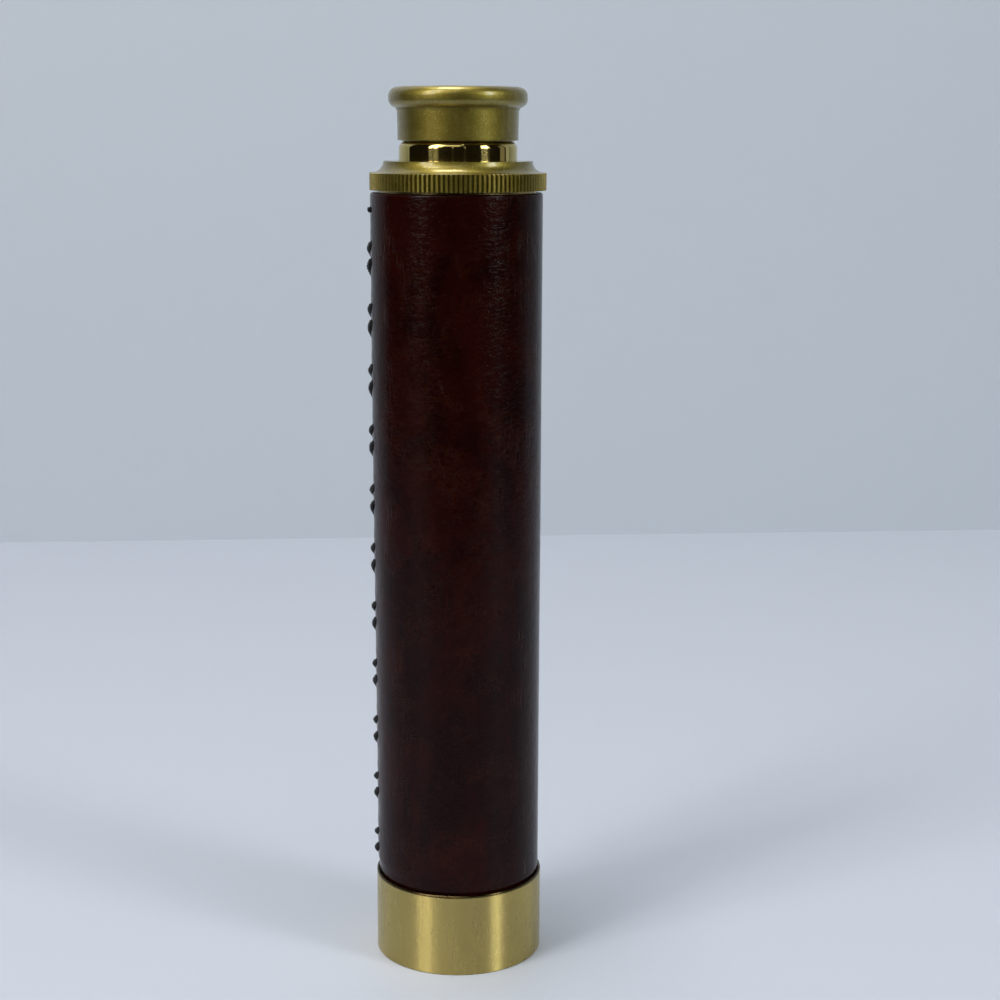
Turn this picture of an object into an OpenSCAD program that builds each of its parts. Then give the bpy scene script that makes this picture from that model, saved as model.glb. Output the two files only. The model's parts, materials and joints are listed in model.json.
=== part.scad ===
// Hand telescope: a leather-covered brass barrel, and two draw tubes that slide up out of it.
// Millimetres. The origin is the centre of the objective rim, on the face that the closed
// telescope stands on, and +Z runs up the axis to the eyepiece. The lacing is on the -X side.
// Diameters are worked out from the barrel inwards, and heights from the rim upwards.

/* [Barrel] */
// Outer diameter of the brass barrel tube
barrel_d = 28.2; // [26:0.1:34]
// Wall of the barrel tube
barrel_wall = 0.6; // [0.4:0.05:0.9]
// Length of the barrel tube
barrel_len = 140.4; // [130:0.1:180]
// Thickness of the leather
leather_t = 1.25; // [1.1:0.05:1.8]
// Length of tube left bare between the leather and the collar
bare_len = 0.4; // [0.2:0.1:2]
// Radius of the burnished top edge of the leather
leather_edge_r = 0.45; // [0.2:0.05:0.8]
// How far the leather is pressed in where it enters the bezel
leather_tuck = 0.25; // [0:0.05:0.3]

/* [Objective bezel] */
// Height of the polished bezel round the objective end
bezel_h = 15.7; // [13:0.05:22]
// Wall of the skirt that covers the end of the leather
skirt_wall = 0.4; // [0.3:0.05:0.8]
// Diameter of the mouth in front of the lens
mouth_d = 26; // [25:0.1:26.6]
// Depth of the mouth, down to the lens cell
mouth_depth = 5; // [4:0.1:8]
// Length of the threaded land that grips the barrel tube
bezel_land = 4.5; // [3:0.1:6]

/* [Objective lens] */
// Wall of the lens cell
cell_wall = 0.86; // [0.6:0.02:1.2]
// Length of the lens cell
cell_len = 10.2; // [9.6:0.1:14]
// Depth of the lens pocket in the cell
pocket_depth = 7.6; // [7:0.1:8.6]
// Width of the shoulder that the lens sits against
cell_shoulder = 1.2; // [0.8:0.1:2]
// Radius of the front face of the crown lens
crown_front_r = 95; // [70:1:140]
// Radius of the cemented face between the crown and the flint
cement_r = 75; // [60:1:120]
// Radius of the back face of the flint lens
flint_back_r = 260; // [160:5:400]
// Edge thickness of the crown lens
crown_edge = 2; // [1.6:0.1:2.4]
// Edge thickness of the flint lens
flint_edge = 2.2; // [1.8:0.1:2.6]
// Thickness of the threaded ring that holds the lens
retainer_t = 1.8; // [1.2:0.1:2.2]

/* [Knurled collar] */
// How far the knurling stands out past the leather
knurl_overhang = 0.71; // [0.5:0.01:1.2]
// Height of the knurled band
knurl_h = 3.1; // [2:0.1:5]
// Number of knurled teeth
knurl_teeth = 116; // [80:1:140]
// Depth of the knurling
knurl_depth = 0.26; // [0.15:0.01:0.35]
// Radius of the hollow moulding over the knurling
cove_r = 2.2; // [2:0.05:2.6]
// Height of the hollow moulding
cove_h = 2.1; // [1.6:0.05:2.2]
// Width of the flat ledge between the knurling's roots and the hollow moulding
ledge_w = 0.06; // [0.04:0.02:0.4]
// Length of the spigot that screws into the barrel tube
spigot_len = 13.4; // [10:0.1:20]

/* [Draw tubes] */
// Wall of the bushes that the draws slide through
bush_wall = 0.5; // [0.4:0.05:0.8]
// Thickness of the felt round the first draw
first_felt_t = 0.45; // [0.4:0.05:0.7]
// Thickness of the felt round the second draw
second_felt_t = 0.75; // [0.4:0.05:0.8]
// Wall of the draw tubes
draw_wall = 0.45; // [0.35:0.05:0.6]
// Length of the stop rings at the lower ends of the draws
stop_ring_len = 7; // [5:0.5:12]
// Thickness of the lip inside the first draw's lower end
stop_lip_t = 1.5; // [1:0.1:2]
// Length of the bush in the first draw's upper end
first_bush_len = 12.7; // [10:0.1:18]
// Thickness of the lips that keep the felt in its bush
felt_lip = 1.9; // [1.4:0.1:2.4]
// Length of polished tube that shows when the telescope is closed
bright_len = 3.5; // [2:0.1:6]
// Radius of the spun shoulder at the eye end of the second draw
shoulder_r = 1.24; // [1:0.02:2.4]

/* [Erecting lenses] */
// Length of the tube that carries the erecting lenses
erector_len = 36; // [28:0.5:48]
// Wall of the erector tube at its lens pockets
erector_wall = 0.9; // [0.7:0.05:1.2]
// Radius of the bore between the erecting lenses
erector_bore_r = 8; // [7:0.1:8.1]
// Depth of each lens pocket in the erector tube
erector_pocket = 4.6; // [4.2:0.1:6]
// Radius of the curved face of the erecting lenses
erector_lens_r = 44.5; // [30:0.5:60]
// Edge thickness of the erecting lenses
erector_edge = 1.6; // [1.2:0.1:2]
// Thickness of the rings that hold the erecting lenses
erector_ring_t = 1.4; // [1:0.1:1.8]
// Radius of the hole in the erector stop
erector_hole_r = 1.8; // [1:0.1:4]

/* [Eyepiece] */
// Radius of the round bead at the eye end
bead_r = 1.65; // [1.5:0.05:2.3]
// Height of the straight part in the middle of the bead
bead_flat = 0.45; // [0:0.05:0.8]
// How far the centre of the bead lies inside the side of the body
bead_inset = 0.11; // [0:0.01:0.8]
// Height from the end of the second draw to the centre of the bead's lower curve
bead_rise = 7.5; // [7:0.05:9.2]
// How far the eyepiece body stands out past the second draw
eye_body_step = 0.3; // [0.1:0.05:0.6]
// Taper of the eyepiece body, on the radius
eye_taper = 0.12; // [0:0.01:0.2]
// Wall of the threaded bush in the second draw
eye_bush_wall = 0.77; // [0.75:0.01:1]
// Length of the threaded bush in the second draw
eye_bush_len = 7.2; // [5:0.1:10]
// Wall of the threaded neck of the eyepiece
neck_wall = 0.9; // [0.7:0.05:1]
// Length of the threaded neck of the eyepiece
neck_len = 8.7; // [6:0.1:12]
// Radius of the hole that the eye looks through
eye_hole_r = 5.2; // [4:0.1:5.6]
// Thickness of the plate round the eye hole
eye_plate_t = 1.4; // [1:0.1:2]
// Length of the lens barrel inside the eyepiece
lens_barrel_len = 34; // [28:0.5:40]
// Radius of the bore of the lens barrel
lens_bore_r = 6.7; // [6:0.1:6.9]
// Radius of the curved face of the eye lens
eye_lens_r = 11.5; // [10.5:0.5:20]
// Radius of the curved face of the field lens
field_lens_r = 28; // [20:0.5:40]
// Radius of the hole in the field stop
field_hole_r = 4.6; // [3:0.1:5.6]
// Height of the field stop above the seat of the field lens
field_stop_rise = 4.5; // [2:0.1:10]

/* [Lacing] */
// Diameter of the waxed thread
thread_d = 0.8; // [0.6:0.05:0.8]
// Distance from one pair of stitches to the next
stitch_pitch = 11.2; // [9:0.05:13]
// Height of the topmost pair of stitches below the top of the leather
stitch_top = 11.1; // [9:0.1:14]
// Distance from the seam to each row of stitch holes
hole_offset = 2.2; // [1.8:0.1:2.8]
// Width of the gap between the leather's edges
seam_gap = 0.25; // [0.15:0.05:0.5]

/* [Clearances] */
// Clearance of a thread, a solder joint or a press fit, on the radius
fit_gap = 0.02; // [0.01:0.01:0.05]
// Clearance of a sliding ring, on the radius
slide_gap = 0.05; // [0.02:0.01:0.1]
// Clearance between felt and tube, on the radius
felt_gap = 0.03; // [0.01:0.01:0.05]
// Clearance round each lens, on the radius
lens_gap = 0.05; // [0.02:0.01:0.1]

/* [Hidden] */
$fn = 96;

satin_gold = [0.62, 0.53, 0.26];
bright_brass = [0.80, 0.66, 0.30];
lacquer_black = [0.08, 0.08, 0.08];
oxblood = [0.20, 0.05, 0.04];
thread_black = [0.03, 0.03, 0.03];
felt_green = [0.18, 0.26, 0.20];
glass_tint = [0.75, 0.88, 0.92, 0.45];

overcut = 0.5;       // how far a cutting tool runs past the face that it cuts
lens_seat_gap = 0.02; // air left where a lens meets its seat
cement_t = 0.02;      // balsam between the crown and the flint
lens_fn = 720;        // the lens faces are shallow, so their circles are drawn finer

// Radii, from the outside in
barrel_r = barrel_d / 2;
barrel_bore_r = barrel_r - barrel_wall;
leather_r = barrel_r + leather_t;
skirt_gap = 0.07;
skirt_r = leather_r + skirt_gap;
bezel_r = skirt_r + skirt_wall;
mouth_r = mouth_d / 2;
knurl_r = leather_r + knurl_overhang;
spigot_r = barrel_bore_r - fit_gap;
first_felt_r = spigot_r - bush_wall;
first_draw_r = first_felt_r - first_felt_t - felt_gap;
first_bore_r = first_draw_r - draw_wall;
first_bush_r = first_bore_r - fit_gap;
second_felt_r = first_bush_r - bush_wall;
second_draw_r = second_felt_r - second_felt_t - felt_gap;
second_bore_r = second_draw_r - draw_wall;

// Heights, from the rim up
cell_seat_z = mouth_depth + pocket_depth;
cell_top = mouth_depth + cell_len;
skirt_z = mouth_depth + bezel_land;
leather_z0 = skirt_z + fit_gap;
collar_z = mouth_depth + barrel_len;
leather_z1 = collar_z - bare_len;
ledge_z = collar_z + knurl_h;
collar_top = ledge_z + cove_h;
spigot_z = collar_z - spigot_len;
first_tube_z = cell_top + stop_lip_t;
first_bush_lip = 0.9;
first_tube_top = collar_top - first_bush_lip;
second_tube_z = first_tube_z;
second_top = collar_top + bright_len;
first_travel = spigot_z - (cell_top + stop_ring_len);
second_travel = (collar_top - first_bush_len) - (second_tube_z + stop_ring_len);

// How far a face of radius r_face falls away at a distance rho from the axis
function sag(r_face, rho) = r_face - sqrt(r_face * r_face - rho * rho);

// A turned piece: its profile is a list of [radius, height] points
module turned(profile) {
    rotate_extrude() polygon(profile);
}

// A plain ring or tube
module ring(r_in, r_out, z0, z1) {
    turned([[r_in, z0], [r_out, z0], [r_out, z1], [r_in, z1]]);
}

// A ring with the two notches that a spanner turns it by, cut in its face at z0 or z1
module notched_ring(r_in, r_out, z0, z1, notch_w = 1.6, notch_t = 0.6, at_top = false) {
    difference() {
        ring(r_in, r_out, z0, z1);
        translate([0, 0, at_top ? z1 : z0])
            cube([2 * (r_out + overcut), notch_w, 2 * notch_t], center = true);
    }
}

// A lens whose rim lies between z0 and z1. Each face bulges out by its radius, and 0 is flat.
module lens(r, z0, z1, low_r, high_r) {
    low = low_r == 0 ? 0 : sag(low_r, r);
    high = high_r == 0 ? 0 : sag(high_r, r);
    rotate_extrude() intersection() {
        translate([0, z0 - low]) square([r, z1 - z0 + low + high]);
        if (low_r != 0) translate([0, z0 - low + low_r]) circle(r = low_r, $fn = lens_fn);
        if (high_r != 0) translate([0, z1 + high - high_r]) circle(r = high_r, $fn = lens_fn);
    }
}

module barrel_tube() {
    color(bright_brass) ring(barrel_bore_r, barrel_r, mouth_depth, collar_z);
}

bezel_chamfer = 0.25;
bezel_break = 0.12;
module objective_bezel() {
    land_r = barrel_r + fit_gap;
    color(bright_brass) turned([
        [mouth_r + bezel_chamfer, 0], [bezel_r - bezel_chamfer, 0],
        [bezel_r, bezel_chamfer], [bezel_r, bezel_h - bezel_break],
        [bezel_r - bezel_break, bezel_h], [skirt_r, bezel_h], [skirt_r, skirt_z],
        [land_r, skirt_z], [land_r, mouth_depth], [mouth_r, mouth_depth],
        [mouth_r, bezel_chamfer]
    ]);
}

// The objective: a cell with a shoulder behind the lens and a notched ring in front of it
cell_r = barrel_bore_r - fit_gap;
pocket_r = cell_r - cell_wall;
cell_stop_r = pocket_r - cell_shoulder;
lens_r = pocket_r - lens_gap;
retainer_r = pocket_r - fit_gap;
retainer_bore_r = cell_stop_r + 0.4;
flint_vertex = cell_seat_z - lens_seat_gap + sag(flint_back_r, cell_stop_r);
flint_edge_z = flint_vertex - sag(flint_back_r, lens_r);
cement_z = flint_edge_z - flint_edge;
crown_edge_z = cement_z - crown_edge;
crown_vertex = crown_edge_z - sag(crown_front_r, lens_r);
retainer_top = crown_vertex + sag(crown_front_r, retainer_bore_r) - lens_seat_gap;

module objective_cell() {
    color(lacquer_black) turned([
        [pocket_r, mouth_depth], [cell_r, mouth_depth], [cell_r, cell_top],
        [cell_stop_r, cell_top], [cell_stop_r, cell_seat_z], [pocket_r, cell_seat_z]
    ]);
}

module objective_crown_lens() {
    color(glass_tint) lens(lens_r, crown_edge_z, cement_z, crown_front_r, cement_r);
}

module objective_flint_lens() {
    z0 = cement_z + cement_t;
    rise = sag(cement_r, lens_r);
    back_rise = sag(flint_back_r, lens_r);
    color(glass_tint) rotate_extrude() difference() {
        intersection() {
            translate([0, z0]) square([lens_r, flint_vertex - z0]);
            translate([0, flint_edge_z + back_rise - flint_back_r])
                circle(r = flint_back_r, $fn = lens_fn);
        }
        translate([0, z0 + rise - cement_r]) circle(r = cement_r, $fn = lens_fn);
    }
}

module objective_retaining_ring() {
    color(lacquer_black)
        notched_ring(retainer_bore_r, retainer_r, retainer_top - retainer_t, retainer_top,
                     notch_w = 2);
}

// Outline of the knurled band: straight teeth round a circle
function knurl_points(r_tip, r_root, teeth) = [
    for (i = [0 : 2 * teeth - 1])
        let (a = i * 180 / teeth, r = i % 2 == 0 ? r_tip : r_root)
            [r * cos(a), r * sin(a)]
];

// The collar: knurled band, hollow moulding, and the spigot that carries the felt
module knurled_collar() {
    lip_r = first_draw_r + slide_gap + fit_gap;
    ledge_r = knurl_r - knurl_depth - ledge_w;
    felt_z0 = spigot_z + felt_lip;
    felt_z1 = collar_top - felt_lip;
    color(satin_gold) difference() {
        union() {
            translate([0, 0, collar_z]) linear_extrude(height = knurl_h)
                polygon(knurl_points(knurl_r, knurl_r - knurl_depth, knurl_teeth));
            translate([0, 0, spigot_z]) cylinder(r = spigot_r, h = spigot_len);
            rotate_extrude() difference() {
                translate([0, ledge_z]) square([ledge_r, cove_h]);
                translate([ledge_r, ledge_z + cove_r]) circle(r = cove_r);
            }
        }
        translate([0, 0, spigot_z - overcut])
            cylinder(r = lip_r, h = collar_top - spigot_z + 2 * overcut);
        translate([0, 0, felt_z0]) cylinder(r = first_felt_r, h = felt_z1 - felt_z0);
    }
}

module collar_felt() {
    color(felt_green)
        ring(first_draw_r + felt_gap, first_felt_r - fit_gap,
             spigot_z + felt_lip + fit_gap, collar_top - felt_lip - fit_gap);
}

// The leather: a sleeve with its two edges laced together on the -X side. Its flesh side is
// pared away along the seam, so that the thread can pass under it.
thread_r = thread_d / 2;
thread_gap = 0.03;
under_r = barrel_r + thread_gap + thread_r;
over_r = leather_r + thread_gap + thread_r;
channel_r = under_r + thread_r + thread_gap;
hole_r = thread_r + 0.08;
hole_angle = hole_offset / leather_r * 180 / PI;
channel_angle = hole_angle + (thread_d + 0.2) / leather_r * 180 / PI;

// Heights of the two ends of each stitch, at the left and right rows of holes, from the pair's
// middle: both stitches slant down across the seam, and the lower one is the longer
short_left = 2.1;
short_right = -0.3;
long_left = -0.9;
long_right = -4.2;
stitch_margin = 0.5;
pair_room = leather_z1 - stitch_top + long_right - thread_r - bezel_h - stitch_margin;
stitches = 2 * (floor(pair_room / stitch_pitch) + 1);
function pair_z(i) = leather_z1 - stitch_top - floor(i / 2) * stitch_pitch;
function left_z(i) = pair_z(i) + (i % 2 == 0 ? short_left : long_left);
function right_z(i) = pair_z(i) + (i % 2 == 0 ? short_right : long_right);

// The thread starts in a knot over a hole of its own, above the first stitch
knot_rise = 6;
knot_z = pair_z(0) + short_left + knot_rise;

// A point on the seam side, at a radius, an angle from the seam and a height
function seam_point(r, a, z) = [-r * cos(a), r * sin(a), z];

module stitch_hole(a, z) {
    rotate([0, 0, 180 - a]) translate([barrel_r - overcut, 0, z])
        rotate([0, 90, 0]) cylinder(r = hole_r, h = leather_t + 2 * overcut);
}

// The leather swells from its pressed end to its full thickness just above the bezel
tuck_low = 0.3;
tuck_high = 1.5;

module leather_sleeve() {
    e = leather_edge_r;
    tucked_r = leather_r - leather_tuck;
    sleeve_r = barrel_r + fit_gap;
    color(oxblood) difference() {
        rotate_extrude() {
            polygon([
                [sleeve_r, leather_z0], [tucked_r, leather_z0], [tucked_r, bezel_h + tuck_low],
                [leather_r, bezel_h + tuck_high], [leather_r, leather_z1 - e],
                [leather_r - e, leather_z1 - e], [leather_r - e, leather_z1],
                [sleeve_r, leather_z1]
            ]);
            translate([leather_r - e, leather_z1 - e]) circle(r = e);
        }
        rotate([0, 0, 180 - channel_angle]) rotate_extrude(angle = 2 * channel_angle)
            translate([barrel_r - overcut, leather_z0 - overcut])
                square([channel_r - barrel_r + overcut, leather_z1 - leather_z0 + 2 * overcut]);
        translate([-leather_r - overcut, -seam_gap / 2, leather_z0 - overcut])
            cube([leather_t + 2 * overcut, seam_gap, leather_z1 - leather_z0 + 2 * overcut]);
        stitch_hole(-hole_angle, knot_z);
        for (i = [0 : stitches - 1]) {
            stitch_hole(-hole_angle, left_z(i));
            stitch_hole(hole_angle, right_z(i));
        }
    }
}

// The lacing is one thread. Each stitch comes up through a left hole, crosses the seam, goes
// down through a right hole, and runs back under the leather to the next left hole.
bend_r = 0.45;
bend_angle = bend_r / leather_r * 180 / PI;
bend_steps = 2;
run_steps = 4;

// Quarter bend from one of the loop's straights to the next, as [angle, radius, share of run]
function bend(a, r, a_sign, r_sign, from) = [
    for (k = [0 : bend_steps])
        let (t = from + k * 90 / bend_steps)
            [a + a_sign * bend_angle * (1 - cos(t)), r + r_sign * bend_r * (1 - sin(t))]
];

// One stitch seen along the seam, as [angle, radius] pairs: up, across, down and back
function stitch_loop() = concat(
    [for (k = [0 : bend_steps]) let (t = k * 90 / bend_steps)
        [-hole_angle + bend_angle * (1 - sin(t)), under_r + bend_r * (1 - cos(t))]],
    [for (k = [0 : bend_steps]) let (t = k * 90 / bend_steps)
        [-hole_angle + bend_angle * (1 - cos(t)), over_r - bend_r * (1 - sin(t))]],
    [for (k = [1 : run_steps - 1])
        [(2 * k / run_steps - 1) * (hole_angle - bend_angle), over_r]],
    [for (k = [0 : bend_steps]) let (t = k * 90 / bend_steps)
        [hole_angle - bend_angle * (1 - sin(t)), over_r - bend_r * (1 - cos(t))]],
    [for (k = [0 : bend_steps]) let (t = k * 90 / bend_steps)
        [hole_angle - bend_angle * (1 - cos(t)), under_r + bend_r * (1 - sin(t))]],
    [for (k = [1 : run_steps - 1])
        [(1 - 2 * k / run_steps) * (hole_angle - bend_angle), under_r]]
);

loop = stitch_loop();
over_points = 4 * (bend_steps + 1) + run_steps - 1;

// Height along stitch i at the loop's point k: the run over the seam slants from the left hole
// to the right one, and the run under the leather goes on to the next left hole
function stitch_z(i, k) =
    let (share = (loop[k][0] + hole_angle) / (2 * hole_angle))
        k < over_points
            ? left_z(i) + share * (right_z(i) - left_z(i))
            : left_z(i + 1) + share * (right_z(i) - left_z(i + 1));

// The thread's centre line and radius, as [point, radius]: the knot, the run under the leather
// to the first stitch, every stitch, and the end tucked under the leather
knot_r = 0.62;
function knot_line() = [
    for (s = [[1.02, 0.25], [0.85, 0.5], [0.55, 0.62], [0.2, 0.55], [0, 0.42]])
        [seam_point(leather_r + s[0], -hole_angle, knot_z), s[1] / 0.62 * knot_r]
];
tuck_points = 4;
function thread_line() = concat(
    knot_line(),
    [[seam_point(under_r + bend_r, -hole_angle, knot_z - 0.05), thread_r],
     [seam_point(under_r + bend_r * 0.3, -hole_angle + bend_angle * 0.3, knot_z - 0.35), thread_r]],
    [for (k = [1 : tuck_points])
        let (share = k / tuck_points)
            [seam_point(under_r, -hole_angle * cos(share * 180) + bend_angle * 0.9 * (1 - share),
                        knot_z - 0.7 - share * 2.4), thread_r]],
    [for (k = [1 : tuck_points])
        let (share = k / tuck_points)
            [seam_point(under_r, hole_angle - share * (2 * hole_angle - 2 * bend_angle),
                        knot_z - 3.1 - share * (knot_z - 3.1 - left_z(0) - 0.25)), thread_r]],
    [for (i = [0 : stitches - 1])
        for (k = [0 : (i < stitches - 1 ? len(loop) : over_points) - 1])
            [seam_point(loop[k][1], loop[k][0], stitch_z(i, k)), thread_r]]
);

function unit(v) = v / norm(v);

// Rings of points round a centre line, each square to it and turned the same way up
function sweep_points(line, sides) = [
    for (i = [0 : len(line) - 1])
        let (
            t = unit(line[min(i + 1, len(line) - 1)][0] - line[max(i - 1, 0)][0]),
            across = unit(cross(t, [0, 0, 1])),
            up = cross(across, t)
        )
            for (k = [0 : sides - 1])
                line[i][0] + line[i][1] * (cos(k * 360 / sides) * across
                                           + sin(k * 360 / sides) * up)
];

function sweep_faces(rings, sides) = concat(
    [[for (k = [0 : sides - 1]) sides - 1 - k]],
    [for (i = [0 : rings - 2]) for (k = [0 : sides - 1])
        let (a = i * sides + k, b = i * sides + (k + 1) % sides)
            each [[a, b, b + sides], [a, b + sides, a + sides]]],
    [[for (k = [0 : sides - 1]) (rings - 1) * sides + k]]
);

module seam_thread() {
    line = thread_line();
    sides = 6;
    color(thread_black)
        polyhedron(sweep_points(line, sides), sweep_faces(len(line), sides), convexity = 20);
}

// First draw
module first_draw_tube() {
    color(bright_brass) ring(first_bore_r, first_draw_r, first_tube_z, first_tube_top);
}

ring_chamfer = 0.3;
module first_draw_stop_ring() {
    r_out = barrel_bore_r - slide_gap;
    r_tube = first_draw_r + fit_gap;
    r_lip = second_draw_r + slide_gap;
    top = cell_top + stop_ring_len;
    color(bright_brass) turned([
        [r_lip, cell_top], [r_out - ring_chamfer, cell_top], [r_out, cell_top + ring_chamfer],
        [r_out, top], [r_tube, top], [r_tube, first_tube_z], [r_lip, first_tube_z]
    ]);
}

module first_draw_collar() {
    lip_r = second_draw_r + slide_gap + fit_gap;
    z0 = collar_top - first_bush_len;
    color(bright_brass) turned([
        [lip_r, z0], [first_bush_r, z0], [first_bush_r, first_tube_top],
        [first_draw_r, first_tube_top], [first_draw_r, collar_top - 0.15],
        [first_draw_r - 0.15, collar_top], [lip_r, collar_top],
        [lip_r, collar_top - felt_lip], [second_felt_r, collar_top - felt_lip],
        [second_felt_r, z0 + felt_lip], [lip_r, z0 + felt_lip]
    ]);
}

module first_draw_felt() {
    color(felt_green)
        ring(second_draw_r + felt_gap, second_felt_r - fit_gap,
             collar_top - first_bush_len + felt_lip + fit_gap, collar_top - felt_lip - fit_gap);
}

// Second draw, with its eye end spun in to a round shoulder
module second_draw_tube() {
    shoulder_z = second_top - shoulder_r;
    inner_r = shoulder_r - draw_wall;
    color(bright_brass) union() {
        ring(second_bore_r, second_draw_r, second_tube_z, shoulder_z);
        rotate_extrude() intersection() {
            translate([second_draw_r - shoulder_r, shoulder_z]) difference() {
                circle(r = shoulder_r);
                circle(r = inner_r);
            }
            translate([eye_bush_bore_r, shoulder_z])
                square([second_draw_r - eye_bush_bore_r, shoulder_r]);
        }
    }
}

module second_draw_stop_ring() {
    r_out = first_bore_r - slide_gap;
    r_tube = second_draw_r + fit_gap;
    top = second_tube_z + stop_ring_len;
    color(bright_brass) turned([
        [r_tube, second_tube_z], [r_out - ring_chamfer, second_tube_z],
        [r_out, second_tube_z + ring_chamfer], [r_out, top], [r_tube, top]
    ]);
}

// The erector: two lenses, curved faces inwards, at the ends of a tube with a stop between
erector_r = second_bore_r - fit_gap;
erector_inset = 0.8;
erector_z0 = second_tube_z + erector_inset;
erector_z1 = erector_z0 + erector_len;
erector_mid = (erector_z0 + erector_z1) / 2;
erector_pocket_r = erector_r - erector_wall;
erecting_lens_r = erector_pocket_r - lens_gap;
erector_seat = erector_z0 + erector_pocket;
erector_vertex = erector_seat - lens_seat_gap + sag(erector_lens_r, erector_bore_r);
erector_flat_z = erector_vertex - sag(erector_lens_r, erecting_lens_r) - erector_edge;
erector_bore_chamfer = 0.2;

module erector_tube() {
    color(lacquer_black) turned([
        [erector_pocket_r, erector_z0], [erector_r - erector_bore_chamfer, erector_z0],
        [erector_r, erector_z0 + erector_bore_chamfer],
        [erector_r, erector_z1 - erector_bore_chamfer],
        [erector_r - erector_bore_chamfer, erector_z1], [erector_pocket_r, erector_z1],
        [erector_pocket_r, erector_z1 - erector_pocket],
        [erector_bore_r, erector_z1 - erector_pocket],
        [erector_bore_r, erector_seat], [erector_pocket_r, erector_seat]
    ]);
}

// The two ends of the erector are alike, so the rear one is the front one turned over
module turned_over(z) {
    translate([0, 0, 2 * z]) mirror([0, 0, 1]) children();
}

module erector_front_lens() {
    color(glass_tint)
        lens(erecting_lens_r, erector_flat_z, erector_flat_z + erector_edge, 0, erector_lens_r);
}

module erector_rear_lens() {
    turned_over(erector_mid) erector_front_lens();
}

module erector_front_ring() {
    top = erector_flat_z - lens_seat_gap;
    color(lacquer_black)
        notched_ring(erector_bore_r, erector_pocket_r - fit_gap, top - erector_ring_t, top);
}

module erector_rear_ring() {
    turned_over(erector_mid) erector_front_ring();
}

stop_t = 0.6;
module erector_stop() {
    color(lacquer_black)
        ring(erector_hole_r, erector_bore_r - fit_gap, erector_mid - stop_t / 2,
             erector_mid + stop_t / 2);
}

// The eyepiece screws into a bush in the end of the second draw
eye_bush_r = second_bore_r - fit_gap;
eye_bush_bore_r = eye_bush_r - eye_bush_wall;
eye_bush_top = second_top - shoulder_r - 0.1;
neck_r = eye_bush_bore_r - fit_gap;
neck_bore_r = neck_r - neck_wall;
eye_body_r = second_draw_r + eye_body_step;
bead_centre_r = eye_body_r - bead_inset;
eye_seat_t = 0.15;
eye_seat_inset = 0.73;
body_z = second_top + eye_seat_t;
bead_z = second_top + bead_rise;
plate_top = bead_z - 2.65;
plate_z = plate_top - eye_plate_t;
dish_r = bead_centre_r - bead_r + 0.22;
dish_z = bead_z - 1.1;

module eyepiece_bush() {
    color(bright_brass)
        ring(eye_bush_bore_r, eye_bush_r, eye_bush_top - eye_bush_len, eye_bush_top);
}

module eyepiece_body() {
    neck_z = second_top - neck_len;
    low_r = eye_body_r - eye_taper;
    ridge = 0.16;
    ridge_z = bead_z - bead_r - 0.35;
    color(satin_gold) rotate_extrude() union() {
        polygon([
            [eye_hole_r, plate_z], [neck_bore_r, plate_z], [neck_bore_r, neck_z],
            [neck_r, neck_z], [neck_r, second_top], [low_r - eye_seat_inset, second_top],
            [low_r - eye_seat_inset, body_z], [low_r - 0.1, body_z], [low_r, body_z + 0.1],
            [eye_body_r, ridge_z], [eye_body_r + ridge, ridge_z + 0.1],
            [eye_body_r + ridge, ridge_z + 0.5], [bead_centre_r, bead_z], [dish_r, bead_z],
            [dish_r, dish_z], [eye_hole_r, plate_top]
        ]);
        translate([bead_centre_r, bead_z]) circle(r = bead_r);
        translate([bead_centre_r, bead_z + bead_flat]) circle(r = bead_r);
        translate([bead_centre_r - bead_r, bead_z]) square([2 * bead_r, bead_flat]);
    }
}

// The lens barrel stands under the eye plate: eye lens at the top, field lens at the bottom
lens_barrel_r = neck_bore_r - fit_gap;
lens_barrel_z = plate_z - lens_barrel_len;
eye_pocket_r = lens_barrel_r - 1.14;
eye_glass_r = eye_pocket_r - lens_gap;
eye_ring_t = 0.9;
eye_edge = 1.5;
eye_flat_z = plate_z - eye_ring_t - lens_seat_gap;
eye_vertex = eye_flat_z - eye_edge - sag(eye_lens_r, eye_glass_r);
eye_seat_z = eye_vertex + sag(eye_lens_r, lens_bore_r) - lens_seat_gap;
field_pocket_r = lens_barrel_r - 0.7;
field_glass_r = field_pocket_r - lens_gap;
field_edge = 1.5;
field_ring_t = 1.2;
field_pocket = 4.4;
field_seat_z = lens_barrel_z + field_pocket;
field_flat_z = field_seat_z - lens_seat_gap;
field_vertex = field_flat_z - field_edge - sag(field_lens_r, field_glass_r);
field_stop_z = field_seat_z + field_stop_rise;

module eyepiece_lens_barrel() {
    color(lacquer_black) turned([
        [field_pocket_r, lens_barrel_z], [lens_barrel_r, lens_barrel_z],
        [lens_barrel_r, plate_z], [eye_pocket_r, plate_z], [eye_pocket_r, eye_seat_z],
        [lens_bore_r, eye_seat_z], [lens_bore_r, field_seat_z], [field_pocket_r, field_seat_z]
    ]);
}

module eye_lens() {
    color(glass_tint)
        lens(eye_glass_r, eye_flat_z - eye_edge, eye_flat_z, eye_lens_r, 0);
}

module eye_lens_ring() {
    color(lacquer_black)
        notched_ring(eye_hole_r, eye_pocket_r - fit_gap, plate_z - eye_ring_t, plate_z,
                     notch_w = 1.2, notch_t = 0.4, at_top = true);
}

module field_stop() {
    color(lacquer_black)
        ring(field_hole_r, lens_bore_r - fit_gap, field_stop_z - stop_t / 2,
             field_stop_z + stop_t / 2);
}

module field_lens() {
    color(glass_tint)
        lens(field_glass_r, field_flat_z - field_edge, field_flat_z, field_lens_r, 0);
}

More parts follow.
